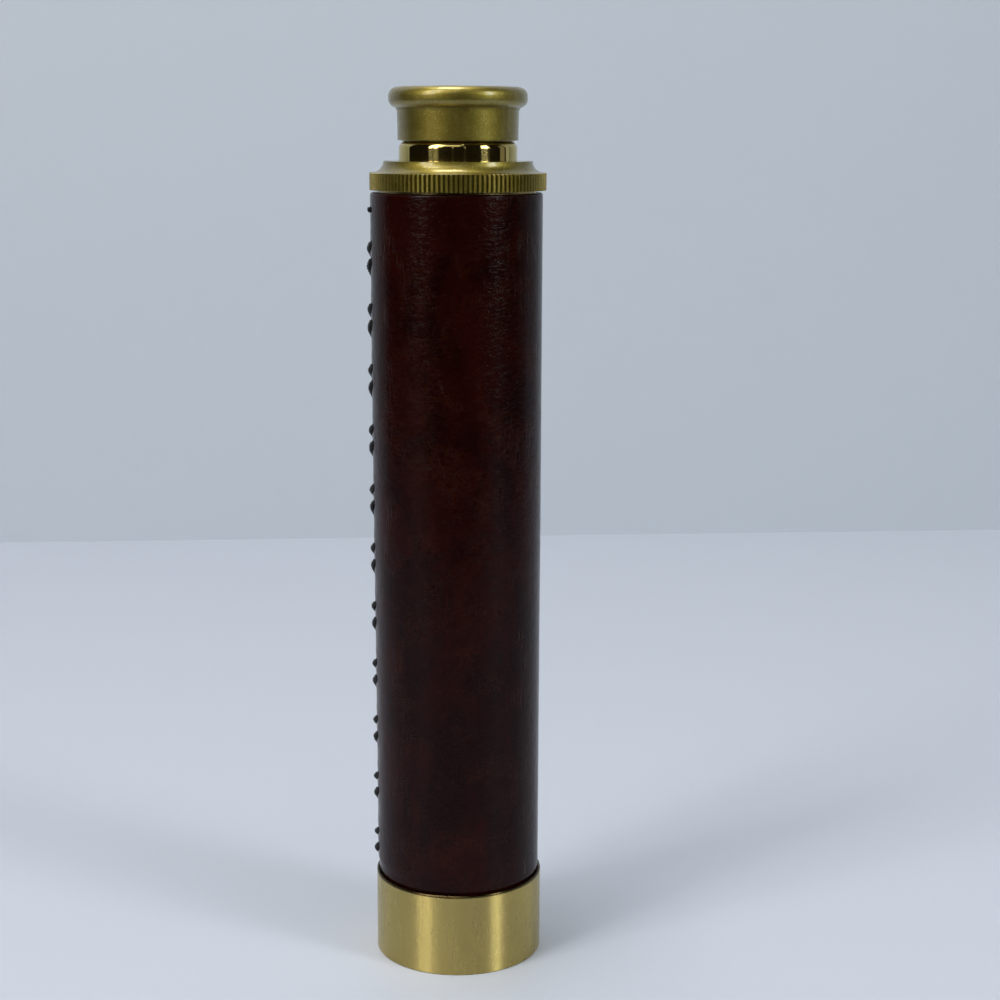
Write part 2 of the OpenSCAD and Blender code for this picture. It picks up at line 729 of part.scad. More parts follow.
module field_lens_ring() {
    top = field_vertex + sag(field_lens_r, lens_bore_r) - lens_seat_gap;
    color(lacquer_black)
        notched_ring(lens_bore_r, field_pocket_r - fit_gap, top - field_ring_t, top,
                     notch_w = 1.2, notch_t = 0.4);
}

barrel_tube();
leather_sleeve();
seam_thread();
objective_bezel();
objective_cell();
objective_crown_lens();
objective_flint_lens();
objective_retaining_ring();
knurled_collar();
collar_felt();
first_draw_tube();
first_draw_stop_ring();
first_draw_collar();
first_draw_felt();
second_draw_tube();
second_draw_stop_ring();
erector_tube();
erector_front_lens();
erector_rear_lens();
erector_front_ring();
erector_rear_ring();
erector_stop();
eyepiece_bush();
eyepiece_body();
eyepiece_lens_barrel();
eye_lens();
eye_lens_ring();
field_stop();
field_lens();
field_lens_ring();
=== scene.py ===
# %% [markdown]
# # A leather-covered brass telescope
#
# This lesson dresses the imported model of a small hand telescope. The model is the frame: it
# gives every piece its place and every moving body its motion. We rebuild the pieces that show
# with smooth surfaces and fine detail, give the rest a material, and light the whole like the
# photograph, which shows it closed and standing on its objective end.
#
# All lengths below are written in millimetres and turned into metres where meshes are made.

# %% Load the frame
import json
import math

import bmesh
import bpy
from mathutils import Matrix, Vector, noise


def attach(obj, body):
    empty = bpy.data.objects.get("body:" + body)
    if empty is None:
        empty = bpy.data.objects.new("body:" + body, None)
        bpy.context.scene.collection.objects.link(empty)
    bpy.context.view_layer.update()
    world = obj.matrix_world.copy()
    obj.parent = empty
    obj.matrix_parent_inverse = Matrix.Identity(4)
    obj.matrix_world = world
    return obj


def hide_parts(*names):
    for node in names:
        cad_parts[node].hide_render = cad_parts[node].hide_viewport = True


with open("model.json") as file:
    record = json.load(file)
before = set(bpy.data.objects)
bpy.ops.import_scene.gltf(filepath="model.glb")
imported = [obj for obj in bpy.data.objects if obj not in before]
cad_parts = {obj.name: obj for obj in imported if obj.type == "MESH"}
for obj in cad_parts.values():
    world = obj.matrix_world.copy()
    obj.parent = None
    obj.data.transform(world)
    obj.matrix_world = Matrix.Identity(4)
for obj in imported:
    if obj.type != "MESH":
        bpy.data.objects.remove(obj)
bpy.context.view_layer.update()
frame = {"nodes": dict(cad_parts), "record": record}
MM = 0.001

# %% [markdown]
# ## Camera
#
# The photograph was taken from about 350 mm away, from just below the top of the telescope and
# looking 11 degrees down. A camera could be placed by eye, but then the ellipses of the rims
# never quite fit. So its height, tilt and lens were worked out from those ellipses: the lower
# rim is much rounder than the upper one, which only a near camera shows.

# %% Camera
CAMERA_PLACE = (0.0078, -0.3495, 0.1560)
LOOKING_DOWN = 11.0
ROLL = 0.19
LENS_MM = 68.4
scene = bpy.context.scene
scene.view_settings.view_transform = "Standard"
camera_data = bpy.data.cameras.new("photo_camera")
camera_data.sensor_width = 36.0
camera_data.lens = LENS_MM
camera_data.clip_start = 0.01
camera_data.clip_end = 20.0
camera = bpy.data.objects.new("photo_camera", camera_data)
scene.collection.objects.link(camera)
look = Matrix.Rotation(math.radians(90.0 - LOOKING_DOWN), 4, "X")
roll = Matrix.Rotation(math.radians(ROLL), 4, "Z")
camera.matrix_world = Matrix.Translation(CAMERA_PLACE) @ look @ roll
scene.camera = camera
print("camera at", [round(c, 4) for c in camera.matrix_world.translation])

# %% [markdown]
# ## Small tools for materials
#
# Every material starts as one principled shader with its plain values on its own sockets, and
# patterns are then linked in. They could follow a UV map, but a turned piece has no natural
# flat layout. The object's own coordinates need none, and stay with a piece when it slides.
# They are scaled by a thousand here, so a texture's scale counts features per millimetre.


# %% Material tools
def material(name, base, metallic, roughness, **sockets):
    """A principled material with plain values on its sockets."""
    mat = bpy.data.materials.new(name)
    mat.use_nodes = True
    shader = mat.node_tree.nodes["Principled BSDF"]
    shader.inputs["Base Color"].default_value = (*base, 1.0)
    shader.inputs["Metallic"].default_value = metallic
    shader.inputs["Roughness"].default_value = roughness
    for socket, value in sockets.items():
        shader.inputs[socket.replace("_", " ")].default_value = value
    return mat, mat.node_tree, shader


def node(tree, kind, inputs=None, **settings):
    """A new shader node. An input is a plain value, or another node's output to link from."""
    made = tree.nodes.new("ShaderNode" + kind)
    for key, value in settings.items():
        setattr(made, key, value)
    for key, value in (inputs or {}).items():
        if isinstance(value, bpy.types.NodeSocket):
            tree.links.new(value, made.inputs[key])
        else:
            made.inputs[key].default_value = value
    return made


def millimetres(tree, scale=(1.0, 1.0, 1.0), turn=(0.0, 0.0, 0.0)):
    """Object coordinates in millimetres, stretched and turned as asked."""
    coordinates = node(tree, "TexCoord")
    mapping = node(tree, "Mapping", {
        "Vector": coordinates.outputs["Object"],
        "Rotation": turn,
        "Scale": [1000.0 * s for s in scale],
    })
    return mapping.outputs["Vector"]


def noise_of(tree, where, per_mm, detail=2.0, rough=0.5, distortion=0.0):
    """Noise from 0 to 1 with about per_mm blobs to a millimetre."""
    made = node(tree, "TexNoise", {
        "Vector": where, "Scale": per_mm, "Detail": detail,
        "Roughness": rough, "Distortion": distortion,
    })
    return made.outputs["Fac"]


def remap(tree, value, low, high, to_low=0.0, to_high=1.0):
    """Eases from to_low to to_high while the value goes from low to high, level outside."""
    made = node(tree, "MapRange", {
        "Value": value, "From Min": low, "From Max": high,
        "To Min": to_low, "To Max": to_high,
    }, interpolation_type="SMOOTHSTEP")
    return made.outputs["Result"]


def blend_colours(tree, factor, first, second):
    """Goes from the first colour to the second. Each is three numbers or a node's output."""
    made = node(tree, "Mix", data_type="RGBA")
    tree.links.new(factor, made.inputs[0])
    for socket, colour in ((made.inputs[6], first), (made.inputs[7], second)):
        if isinstance(colour, bpy.types.NodeSocket):
            tree.links.new(colour, socket)
        else:
            socket.default_value = (*colour, 1.0)
    return made.outputs[2]


def math_of(tree, operation, first, second=0.0, third=0.0):
    """One sum on numbers or on nodes' outputs."""
    made = node(tree, "Math", {0: first, 1: second, 2: third}, operation=operation)
    return made.outputs[0]


def bump_of(tree, height, depth_mm, strength=1.0, under=None):
    """A bump as deep as depth_mm where the height goes from 0 to 1, laid over another one."""
    made = node(tree, "Bump", {
        "Height": height, "Distance": depth_mm * MM, "Strength": strength,
    })
    if under is not None:
        tree.links.new(under, made.inputs["Normal"])
    return made.outputs["Normal"]


print("patterns count features per", MM, "m")


# %% [markdown]
# ## Metals
#
# The knurled collar and the eyepiece are bead-blasted and lacquered: tiny pits scatter the
# light, and the clear coat lays a sharper gleam over them. One rough metal could give the
# scatter or the gleam but not both, so the coat is a second layer with its own roughness.
#
# The bezel and the draw tubes are polished on a lathe. The wheel leaves lines round the piece,
# too fine to see one by one, which smear every reflection up and down but not sideways. A bump
# of real lines would flicker at this distance, so the metal is anisotropic, and only the bezel
# gets a few faint lines as well.
#
# The hidden tubes are plain drawn brass, and the lens cells are lacquered black so that they
# don't send stray light to the eye.


# %% Satin gold
def satin_gold(name, knurled=None):
    """Bead-blasted brass under a clear lacquer. Knurled gives a knurl's inner and outer radius
    and its top, below which the bottoms of its grooves are darkened as painted shade."""
    mat, tree, shader = material(name, (0.215, 0.168, 0.030), 1.0, 0.46, Coat_Weight=0.8,
                                 Coat_Roughness=0.17, Coat_IOR=1.48)
    where = millimetres(tree)
    pits = noise_of(tree, where, 3.6, 2.0, 0.6)
    sparkle = remap(tree, noise_of(tree, where, 4.5, 1.0), 0.60, 0.72)
    tone = remap(tree, noise_of(tree, where, 0.35, 3.0), 0.35, 0.65)
    ground = blend_colours(tree, tone, (0.202, 0.158, 0.025), (0.243, 0.193, 0.035))
    colour = blend_colours(tree, sparkle, ground, (0.34, 0.30, 0.11))
    if knurled is not None:
        inner, outer, top = knurled
        place = node(tree, "SeparateXYZ", {0: where})
        across = math_of(tree, "POWER", place.outputs["X"], 2.0)
        along = math_of(tree, "POWER", place.outputs["Y"], 2.0)
        radius = math_of(tree, "SQRT", math_of(tree, "ADD", across, along))
        # Painted shade: the bottoms of the knurl's grooves are darkened unevenly towards dark
        # brown.
        groove_shade = remap(tree, radius, inner, outer, 1.0, 0.0)
        in_band = remap(tree, place.outputs["Z"], top, top + 0.08, 0.60, 0.0)
        shade_patches = remap(tree, noise_of(tree, where, 2.2, 2.0), 0.35, 0.65, 0.55, 1.0)
        groove_shade = math_of(tree, "MULTIPLY", groove_shade, math_of(tree, "MULTIPLY", in_band, shade_patches))
        colour = blend_colours(tree, groove_shade, colour, (0.075, 0.055, 0.012))
    tree.links.new(colour, shader.inputs["Base Color"])
    tree.links.new(remap(tree, pits, 0.3, 0.7, 0.40, 0.51), shader.inputs["Roughness"])
    tree.links.new(bump_of(tree, pits, 0.026), shader.inputs["Normal"])
    return mat


# %% Polished and plain brass
def polished_brass(name, bright, smear, dull, lines=0.0, rim=None):
    """Brass off the polishing wheel. Smear is its roughness and dull is how far it has browned.
    Lines is how steep its turning lines are. They tilt the surface up and down only, so the
    normal itself is tilted: a bump would tilt it sideways too. Above the height rim the metal
    is a darker brown."""
    mat, tree, shader = material(name, bright, 1.0, smear,
                                 Anisotropic=1.0, Anisotropic_Rotation=0.25)
    where = millimetres(tree)
    patina = remap(tree, noise_of(tree, where, 0.075, 4.0, 0.55, 0.6), 0.50, 0.74, 0.0, dull)
    cloud = noise_of(tree, millimetres(tree, (0.25, 0.25, 0.05)), 1.0, 4.0, 0.6, 1.0)
    browned = (0.80 * bright[0], 0.70 * bright[1], 0.80 * bright[2])
    colour = blend_colours(tree, patina, bright, browned)
    if rim is not None:
        height = node(tree, "SeparateXYZ", {0: where}).outputs["Z"]
        colour = blend_colours(tree, remap(tree, height, rim, rim + 0.08), colour,
                               (0.10, 0.070, 0.028))
    tree.links.new(colour, shader.inputs["Base Color"])
    rough = remap(tree, cloud, 0.30, 0.80, 0.93 * smear, 1.10 * smear)
    tree.links.new(rough, shader.inputs["Roughness"])
    if lines:
        grooves = noise_of(tree, millimetres(tree, (0.0, 0.0, 1.0)), 14.0, 0.0)
        slope = math_of(tree, "MULTIPLY_ADD", grooves, lines, -0.5 * lines)
        upward = node(tree, "CombineXYZ", {"Z": slope}).outputs[0]
        tilted = node(tree, "VectorMath", {0: node(tree, "NewGeometry").outputs["Normal"],
                                           1: upward}, operation="ADD")
        fine = node(tree, "VectorMath", {0: tilted.outputs[0]}, operation="NORMALIZE").outputs[0]
    else:
        dents = bump_of(tree, noise_of(tree, where, 0.22), 0.002)
        fine = bump_of(tree, noise_of(tree, where, 4.0, 2.0), 0.0004, under=dents)
    tree.links.new(fine, shader.inputs["Normal"])
    return mat


def plain_brass():
    """Drawn tube as it comes from the mill, streaked along its length and a little stained."""
    mat, tree, shader = material("plain_brass", (0.62, 0.49, 0.23), 1.0, 0.34)
    streaks = noise_of(tree, millimetres(tree, (5.0, 5.0, 0.05)), 1.0, 3.0)
    stain = remap(tree, noise_of(tree, millimetres(tree), 0.12, 4.0), 0.4, 0.7)
    colour = blend_colours(tree, stain, (0.54, 0.43, 0.19), (0.36, 0.26, 0.12))
    tree.links.new(colour, shader.inputs["Base Color"])
    tree.links.new(remap(tree, streaks, 0.3, 0.7, 0.26, 0.42), shader.inputs["Roughness"])
    tree.links.new(bump_of(tree, streaks, 0.004), shader.inputs["Normal"])
    return mat


# %% Black lacquer
def black_lacquer():
    """Matt black paint with a fine orange peel."""
    mat, tree, shader = material("black_lacquer", (0.012, 0.012, 0.013), 0.0, 0.48,
                                 Specular_IOR_Level=0.4)
    specks = noise_of(tree, millimetres(tree), 5.0, 2.0)
    tree.links.new(remap(tree, specks, 0.3, 0.7, 0.42, 0.58), shader.inputs["Roughness"])
    tree.links.new(bump_of(tree, specks, 0.010), shader.inputs["Normal"])
    return mat


# %% [markdown]
# ## Leather
#
# The hide is glazed and nearly black, with oxblood showing through in clouds. Its grain could
# be a picture of leather, but a picture repeats and blurs. Noise gives it without either:
# three reliefs lie on each other, a fine pebble, short curved wrinkles, and long creases that
# run slantwise where the hide was pulled round the barrel. Each bump takes the one before it
# as its normal, so none of them hides the others.


# %% Leather
def ridges(tree, where, per_mm, width):
    """Thin curved lines, 1 on the line and 0 away from it: where noise crosses its middle."""
    flow = noise_of(tree, where, per_mm, 2.0, 0.5, 0.8)
    away = math_of(tree, "ABSOLUTE", math_of(tree, "SUBTRACT", flow, 0.5))
    return remap(tree, away, 0.0, width, 1.0, 0.0)


def oxblood_leather():
    """Glazed dark hide. Its wrinkles are lighter in patches: rubbed hide, and a painted
    highlight.
    """
    mat, tree, shader = material("oxblood_leather", (0.010, 0.0012, 0.0008), 0.0, 0.20,
                                 Specular_IOR_Level=0.10)
    where = millimetres(tree)
    clouds = noise_of(tree, millimetres(tree, (1.0, 1.0, 0.6)), 0.11, 5.0, 0.6, 0.8)
    speckle = noise_of(tree, where, 1.1, 4.0, 0.65, 0.4)
    wrinkles = ridges(tree, millimetres(tree, (1.0, 1.0, 1.9), (0.0, 0.35, 0.0)), 0.75, 0.11)
    creases = ridges(tree, millimetres(tree, (1.0, 1.0, 0.22), (0.0, 0.45, 0.0)), 0.34, 0.018)
    pebble = node(tree, "TexVoronoi", {"Vector": where, "Scale": 1.9, "Smoothness": 0.6},
                  feature="SMOOTH_F1").outputs["Distance"]
    patches = remap(tree, noise_of(tree, where, 0.16, 3.0), 0.45, 0.62)

    dark = blend_colours(tree, remap(tree, clouds, 0.34, 0.68),
                         (0.0065, 0.0006, 0.0005), (0.0155, 0.0016, 0.0010))
    flecked = blend_colours(tree, remap(tree, speckle, 0.55, 0.80), dark,
                            (0.023, 0.0038, 0.0015))
    # Painted highlight: wrinkle crests lightened in patches, for the sheen on them as well as
    # rubbed hide.
    crest_rub_and_highlight = math_of(tree, "MULTIPLY", wrinkles, math_of(tree, "MULTIPLY", patches, 0.28))
    colour = blend_colours(tree, crest_rub_and_highlight, flecked, (0.034, 0.0090, 0.0030))
    tree.links.new(colour, shader.inputs["Base Color"])
    tree.links.new(math_of(tree, "MULTIPLY_ADD", speckle, 0.10, 0.15), shader.inputs["Roughness"])

    fine = bump_of(tree, pebble, 0.005, 0.8)
    lined = bump_of(tree, wrinkles, 0.012, under=fine)
    slanted = math_of(tree, "MULTIPLY", math_of(tree, "MULTIPLY", creases, patches), -1.0)
    tree.links.new(bump_of(tree, slanted, 0.040, under=lined), shader.inputs["Normal"])
    return mat


# %% [markdown]
# ## Thread, felt and glass
#
# The thread is waxed black linen. Its plies are real geometry later on, so the material adds
# only the fibres and the dull wax. The felts are green wool, as baize was: sheen gives them
# the pale fuzz at their edges that no roughness gives. The glass has a thin coating, which
# gives its reflections their faint colour, and a little dust.


# %% Thread, felt and glass
def waxed_thread():
    """Black thread, paler where the wax has gathered."""
    mat, tree, shader = material("waxed_thread", (0.008, 0.0075, 0.008), 0.0, 0.55,
                                 Sheen_Weight=0.10, Sheen_Roughness=0.4,
                                 Specular_IOR_Level=0.3)
    where = millimetres(tree)
    fibres = noise_of(tree, where, 7.0, 4.0, 0.7)
    wax = remap(tree, noise_of(tree, where, 1.3, 3.0), 0.50, 0.68)
    colour = blend_colours(tree, wax, (0.0045, 0.0042, 0.0045), (0.015, 0.0145, 0.015))
    tree.links.new(colour, shader.inputs["Base Color"])
    tree.links.new(bump_of(tree, fibres, 0.05), shader.inputs["Normal"])
    return mat


def wool_felt():
    """Matted green wool."""
    mat, tree, shader = material("wool_felt", (0.05, 0.08, 0.05), 0.0, 0.95,
                                 Sheen_Weight=0.4, Sheen_Roughness=0.5)
    fibres = noise_of(tree, millimetres(tree), 6.0, 5.0, 0.75, 1.5)
    colour = blend_colours(tree, fibres, (0.030, 0.050, 0.032), (0.085, 0.12, 0.08))
    tree.links.new(colour, shader.inputs["Base Color"])
    tree.links.new(bump_of(tree, fibres, 0.12), shader.inputs["Normal"])
    return mat


def lens_glass():
    """Coated crown glass. The film's thickness is in nanometres."""
    mat, tree, shader = material("lens_glass", (0.97, 0.99, 0.985), 0.0, 0.0, IOR=1.52,
                                 Transmission_Weight=1.0, Thin_Film_Thickness=110.0,
                                 Thin_Film_IOR=1.38)
    dust = remap(tree, noise_of(tree, millimetres(tree), 3.0, 5.0, 0.7), 0.62, 0.80)
    tree.links.new(math_of(tree, "MULTIPLY", dust, 0.06), shader.inputs["Roughness"])
    return mat


MATERIALS = {
    "satin_gold": satin_gold("satin_gold"),
    "knurled_gold": satin_gold("knurled_gold", (15.68, 16.02, 148.5)),
    "polished_brass": polished_brass("polished_brass", (0.54, 0.435, 0.150), 0.10, 0.4),
    "turned_brass": polished_brass("turned_brass", (0.50, 0.392, 0.135), 0.28, 0.35, 0.6, 15.25),
    "plain_brass": plain_brass(),
    "black_lacquer": black_lacquer(),
    "leather": oxblood_leather(),
    "waxed_thread": waxed_thread(),
    "felt": wool_felt(),
    "lens_glass": lens_glass(),
}
print("materials:", ", ".join(MATERIALS))

# %% [markdown]
# ## Small tools for turned pieces
#
# Nearly everything here comes off a lathe. A tube could start as a cylinder with more and more
# cuts in it, but the turner's way is shorter: draw half the section once, as (radius, height)
# points, and spin it round the axis. Corners get a small radius first, because no real edge is
# perfectly sharp, and that radius is what catches the light.
#
# The loose ends of a spin are merged, its normals are turned outwards, and edges that bend more
# than a given angle stay sharp while the rest shade smoothly.


# %% Turning tools
def arc(centre_r, centre_z, radius, first, last, steps):
    """Points on an arc of an outline, from one angle to another, in degrees."""
    made = []
    for k in range(steps + 1):
        a = math.radians(first + (last - first) * k / steps)
        made.append((centre_r + radius * math.cos(a), centre_z + radius * math.sin(a)))
    return made


def rounded(points, steps=4):
    """Rounds the corners of a closed outline. A corner's radius is its third number."""
    made = []
    for i, point in enumerate(points):
        if len(point) == 2:
            made.append(point)
            continue
        corner = Vector(point[:2])
        back = Vector(points[i - 1][:2]) - corner
        ahead = Vector(points[(i + 1) % len(points)][:2]) - corner
        half = back.angle(ahead) / 2.0
        reach = min(point[2] / math.tan(half), 0.45 * min(back.length, ahead.length))
        radius = reach * math.tan(half)
        middle = (back.normalized() + ahead.normalized()).normalized()
        centre = corner + middle * (radius / math.sin(half))
        start = corner + back.normalized() * reach - centre
        end = corner + ahead.normalized() * reach - centre
        sweep = math.atan2(start.x * end.y - start.y * end.x, start.dot(end))
        for k in range(steps + 1):
            a = sweep * k / steps
            made.append((
                centre.x + start.x * math.cos(a) - start.y * math.sin(a),
                centre.y + start.x * math.sin(a) + start.y * math.cos(a),
            ))
    return made


def spun(outline, steps, closed=True, angle=2.0 * math.pi, start=0.0):
    """A bmesh spun round the axis from an outline in millimetres."""
    bm = bmesh.new()
    turn = Matrix.Rotation(start, 3, "Z")
    verts = [bm.verts.new(turn @ Vector((r * MM, 0.0, z * MM))) for r, z in outline]
    pairs = list(zip(verts, verts[1:])) + ([(verts[-1], verts[0])] if closed else [])
    edges = [bm.edges.new(pair) for pair in pairs]
    bmesh.ops.spin(bm, geom=verts + edges, cent=(0, 0, 0), axis=(0, 0, 1), dvec=(0, 0, 0),
                   angle=angle, steps=steps, use_duplicate=False,
                   use_merge=angle > 2.0 * math.pi - 1e-6)
    return bm


def dressed(piece, look, body, replaced=()):
    """Gives a piece its material and its body, and hides the nodes that it stands for."""
    piece.data.materials.clear()
    piece.data.materials.append(MATERIALS[look])
    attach(piece, body)
    if replaced:
        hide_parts(*replaced)
    return piece


def finish(name, bm, look, body, replaced=(), sharp=32.0):
    """Turns a bmesh into a finished piece, with outward normals and smooth shading."""
    bmesh.ops.remove_doubles(bm, verts=bm.verts, dist=1e-7)
    bmesh.ops.recalc_face_normals(bm, faces=bm.faces)
    for face in bm.faces:
        face.smooth = True
    for edge in bm.edges:
        edge.smooth = len(edge.link_faces) != 2 or edge.calc_face_angle() < math.radians(sharp)
    mesh = bpy.data.meshes.new(name)
    bm.to_mesh(mesh)
    bm.free()
    piece = bpy.data.objects.new(name, mesh)
    scene.collection.objects.link(piece)
    shading = piece.modifiers.new("even_shading", "WEIGHTED_NORMAL")
    shading.keep_sharp = True
    print(f"{name}: {len(mesh.vertices)} vertices, {len(mesh.polygons)} faces")
    return dressed(piece, look, body, replaced)


def turned(name, outline, look, body, replaced=(), steps=256, closed=True):
    """A piece off the lathe, from its outline in millimetres."""
    return finish(name, spun(outline, steps, closed), look, body, replaced)


# %% [markdown]
# ## Barrel and bezel
#
# The bezel is a polished cup that screws on round the objective. Its thin skirt covers the
# lower end of the leather, so its inside shows too, as a dark line above the hide. That is why
# it is spun from a closed section with a real wall, and not as an outer skin alone. It has
# more steps than the others, because its lower rim is the nearest and roundest edge in view.
# The barrel tube shows only as a bright ring between the leather and the collar.

# %% Barrel and bezel
BEZEL_R = 15.82
BEZEL_HIGH = 15.7
SKIRT_BORE = 15.42
SKIRT_LOW = 9.5
MOUTH_R = 13.0
BARREL_R = 14.1
BARREL_BORE = 13.5
BARREL_LOW = 5.0
BARREL_HIGH = 145.4
THREAD_BORE = BARREL_R + 0.02
turned("bezel", rounded([
    (MOUTH_R + 0.25, 0.0, 0.05), (BEZEL_R - 0.16, 0.0, 0.03), (BEZEL_R, 0.16, 0.05),
    (BEZEL_R, BEZEL_HIGH - 0.12, 0.03), (BEZEL_R - 0.12, BEZEL_HIGH, 0.03),
    (SKIRT_BORE, BEZEL_HIGH, 0.05), (SKIRT_BORE, SKIRT_LOW), (THREAD_BORE, SKIRT_LOW),
    (THREAD_BORE, BARREL_LOW), (MOUTH_R, BARREL_LOW, 0.05), (MOUTH_R, 0.25, 0.05),
]), "turned_brass", "barrel", ["objective_bezel"], steps=320)
turned("barrel_tube_drawn", [
    (BARREL_BORE, BARREL_LOW), (BARREL_R, BARREL_LOW),
    (BARREL_R, BARREL_HIGH), (BARREL_BORE, BARREL_HIGH),
], "plain_brass", "barrel", ["barrel_tube"])

# %% [markdown]
# ## Knurled collar
#
# The collar screws into the barrel and guides the first draw. Its knurl gives the fingers a
# grip. The teeth could be cut with a boolean, 116 times over, which is slow and leaves a poor
# mesh. Instead the collar is spun with ten steps to a tooth, and then the band's points are
# pushed in between the teeth. The tops and bottoms of the teeth are crisp, because the real
# band was faced after it was knurled. Above it a hollow moulding leads up to the draws.

# %% Knurled collar
KNURL_TEETH = 116
STEPS_TO_A_TOOTH = 10
KNURL_R = 16.06
KNURL_DEPTH = 0.42
BAND_LOW = BARREL_HIGH
BAND_HIGH = 148.5
COLLAR_LOW = 132.02
COLLAR_HIGH = 150.6
COLLAR_BORE = 12.57
SLEEVE_R = 13.48
FELT_BED = 12.98
FELT_LOW = 133.9
FELT_HIGH = 148.7
collar_outline = (
    rounded([(COLLAR_BORE, COLLAR_LOW, 0.1), (SLEEVE_R, COLLAR_LOW, 0.15),
             (SLEEVE_R, BAND_LOW - 0.01)])
    + [(KNURL_R - 0.34, BAND_LOW), (KNURL_R - 0.04, BAND_LOW), (KNURL_R, BAND_LOW + 0.05)]
    + [(KNURL_R, BAND_LOW + 0.1 + (BAND_HIGH - BAND_LOW - 0.2) * k / 5) for k in range(6)]
    + [(KNURL_R, BAND_HIGH - 0.05), (KNURL_R - 0.04, BAND_HIGH), (KNURL_R - 0.34, BAND_HIGH)]
    + arc(15.74, 150.7, 2.2, 268.0, 183.5, 18)
    + rounded([(SLEEVE_R + 0.06, COLLAR_HIGH - 0.04), (SLEEVE_R, COLLAR_HIGH),
               (COLLAR_BORE, COLLAR_HIGH, 0.12), (COLLAR_BORE, FELT_HIGH),
               (FELT_BED, FELT_HIGH), (FELT_BED, FELT_LOW), (COLLAR_BORE, FELT_LOW)])
)
bm = spun(collar_outline, KNURL_TEETH * STEPS_TO_A_TOOTH)
for vert in bm.verts:
    r = math.hypot(vert.co.x, vert.co.y) / MM
    z = vert.co.z / MM
    if r > KNURL_R - 0.1 and z < BAND_HIGH + 0.001:
        phase = math.atan2(vert.co.y, vert.co.x) * KNURL_TEETH / (2.0 * math.pi)
        valley = min(1.0, 1.25 * abs(2.0 * (phase % 1.0) - 1.0))
        depth = KNURL_DEPTH * (1.0 - valley)
        vert.co.x *= (r - depth) / r
        vert.co.y *= (r - depth) / r
finish("knurled_collar_turned", bm, "knurled_gold", "barrel", ["knurled_collar"], sharp=38.0)

# %% [markdown]
# ## Draw tubes
#
# The draws are thin brass tubes that slide in one another. Of the first one only the top of
# its collar shows while the telescope is closed, but its whole tube shows when it is pulled
# out, so all of it is made. The second draw ends in a shoulder that was spun inwards: two arcs
# round one centre give it an even wall, where a bevel would thin it at the bend. The collars
# stop 0.02 mm short of the rings that they meet when a draw is fully out, so the faces don't
# lie in one plane there.

# %% Draw tubes
DRAW_LOW = 16.7
DRAW_WALL = 0.45
FIRST_R = 12.5
FIRST_BORE = FIRST_R - DRAW_WALL
FIRST_HIGH = 149.7
FIRST_COLLAR_R = 12.03
FIRST_COLLAR_LOW = 137.92
FIRST_COLLAR_BORE = 10.82
FIRST_FELT_BED = 11.53
FIRST_FELT_LOW = 139.8
SECOND_R = 10.75
SECOND_BORE = SECOND_R - DRAW_WALL
SECOND_HIGH = 154.1
SHOULDER_R = 1.24
turned("first_draw_polished", rounded([
    (FIRST_BORE, DRAW_LOW, 0.08), (FIRST_R, DRAW_LOW, 0.12),
    (FIRST_R, FIRST_HIGH), (FIRST_BORE, FIRST_HIGH),
]), "polished_brass", "first_draw", ["first_draw_tube"])
turned("first_collar_polished", rounded([
    (FIRST_COLLAR_BORE, FIRST_COLLAR_LOW, 0.08), (FIRST_COLLAR_R, FIRST_COLLAR_LOW, 0.08),
    (FIRST_COLLAR_R, FIRST_HIGH), (FIRST_R, FIRST_HIGH), (FIRST_R, COLLAR_HIGH, 0.16),
    (FIRST_COLLAR_BORE, COLLAR_HIGH, 0.12), (FIRST_COLLAR_BORE, FELT_HIGH),
    (FIRST_FELT_BED, FELT_HIGH), (FIRST_FELT_BED, FIRST_FELT_LOW),
    (FIRST_COLLAR_BORE, FIRST_FELT_LOW),
]), "polished_brass", "first_draw", ["first_draw_collar"])
shoulder_r = SECOND_R - SHOULDER_R
shoulder_z = SECOND_HIGH - SHOULDER_R
turned("second_draw_polished", (
    rounded([(SECOND_BORE, DRAW_LOW, 0.08), (SECOND_R, DRAW_LOW, 0.12), (SECOND_R, 60.0)])
    + arc(shoulder_r, shoulder_z, SHOULDER_R, 0.0, 90.0, 16)
    + arc(shoulder_r, shoulder_z, SHOULDER_R - DRAW_WALL, 90.0, 0.0, 8)
    + [(SECOND_BORE, 60.0)]
), "polished_brass", "second_draw", ["second_draw_tube"])

# %% [markdown]
# ## Eyepiece
#
# The eyepiece screws into the second draw. It has a straight body with a slight taper, a low
# ridge, and a full bead that keeps the brass off the eyebrow. A torus on top of a cylinder
# would leave a joint that the real one doesn't have, so the bead is part of the same outline:
# two round edges with a short straight part between them. Inside it a shallow cone leads down
# to the eye hole.

# %% Eyepiece
BEAD_R = 1.65
BEAD_CENTRE = 10.94
BEAD_LOW = 161.6
BEAD_HIGH = BEAD_LOW + 0.45
SPIGOT_R = 9.49
SPIGOT_LOW = 145.4
EYE_BORE = 8.59
BODY_LOW = SECOND_HIGH + 0.15
RIDGE_LOW = 159.6
EYE_HOLE_R = 5.2
turned("eyepiece_turned", (
    rounded([(EYE_BORE, SPIGOT_LOW, 0.08), (SPIGOT_R, SPIGOT_LOW, 0.12),
             (SPIGOT_R, SECOND_HIGH), (10.20, SECOND_HIGH), (10.20, BODY_LOW),
             (10.93, BODY_LOW, 0.14), (11.05, RIDGE_LOW, 0.04),
             (11.21, RIDGE_LOW + 0.10, 0.05)])
    + arc(BEAD_CENTRE, BEAD_LOW, BEAD_R, -80.0, 0.0, 14)
    + arc(BEAD_CENTRE, BEAD_HIGH, BEAD_R, 0.0, 180.0, 32)
    + arc(BEAD_CENTRE, BEAD_LOW, BEAD_R, 180.0, 208.0, 6)
    + rounded([(9.51, 160.5, 0.2), (EYE_HOLE_R, 158.95, 0.12), (EYE_HOLE_R, 157.55),
               (EYE_BORE, 157.55)])
), "satin_gold", "second_draw", ["eyepiece_body"])


